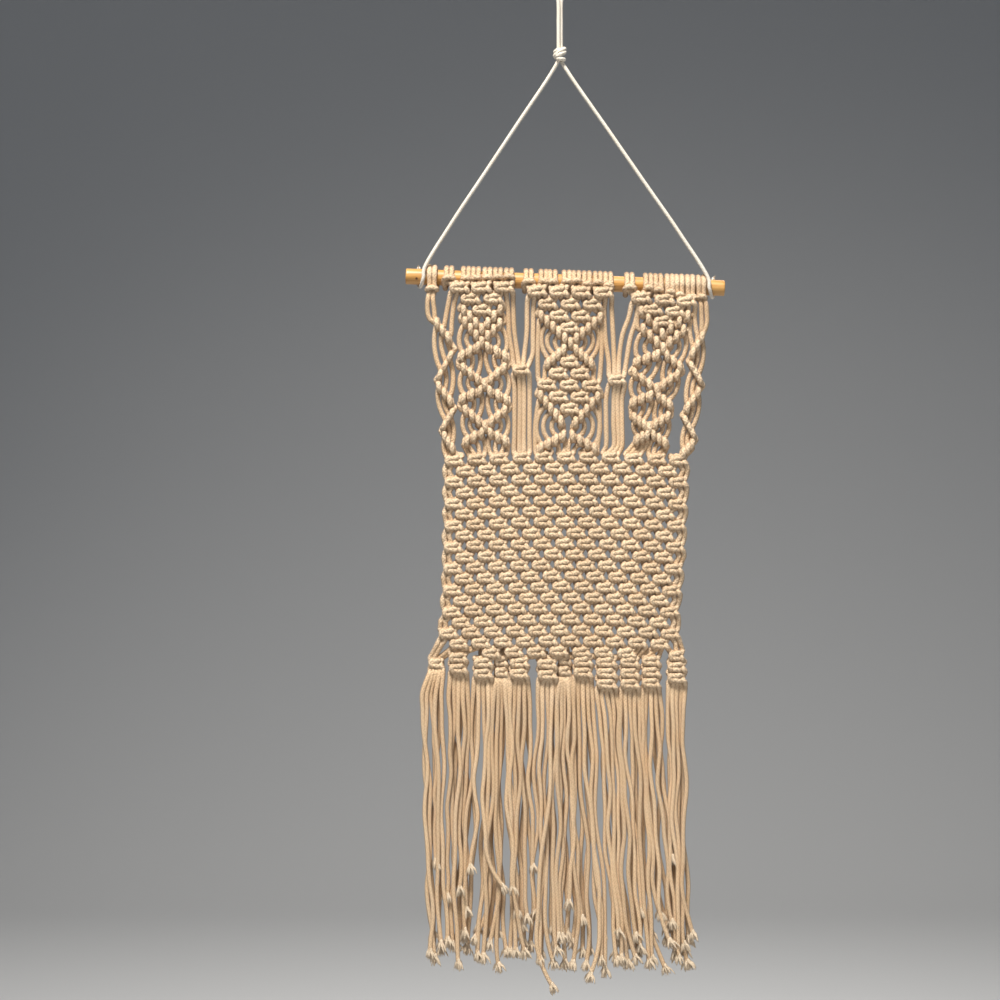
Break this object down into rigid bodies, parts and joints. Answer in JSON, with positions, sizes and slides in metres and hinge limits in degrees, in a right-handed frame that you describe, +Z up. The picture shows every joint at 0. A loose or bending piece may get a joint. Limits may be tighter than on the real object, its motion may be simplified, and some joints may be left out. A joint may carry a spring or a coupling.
{
  "type": "macrame wall hanging with wooden rod",
  "caption": "Long narrow macrame wall hanging with openwork panels, a knotted net and a fringe, hung from a wooden rod by a cord with a knotted loop.",
  "frame": {"origin": "where the hanging loop rests on its nail", "axes": "+Z up, +X to the right seen from the front, the front faces -Y"},
  "size_m": [0.2562, 0.0253, 0.8099],
  "materials": {
    "rod_wood": "turned light wood, thinly varnished, warm orange yellow",
    "cotton_cord": "undyed cotton cord, matt, warm cream",
    "hanging_cord": "undyed cotton cord, thinner and paler than the knotted cord"
  },
  "bodies": {
    "root": {"rod": "rod_wood", "macrame_panel": "cotton_cord", "fringe": "cotton_cord", "hanger_left_leg": "hanging_cord", "hanger_right_leg": "hanging_cord", "hanger_knot": "hanging_cord", "hanger_loop": "hanging_cord"}
  },
  "joints": []
}
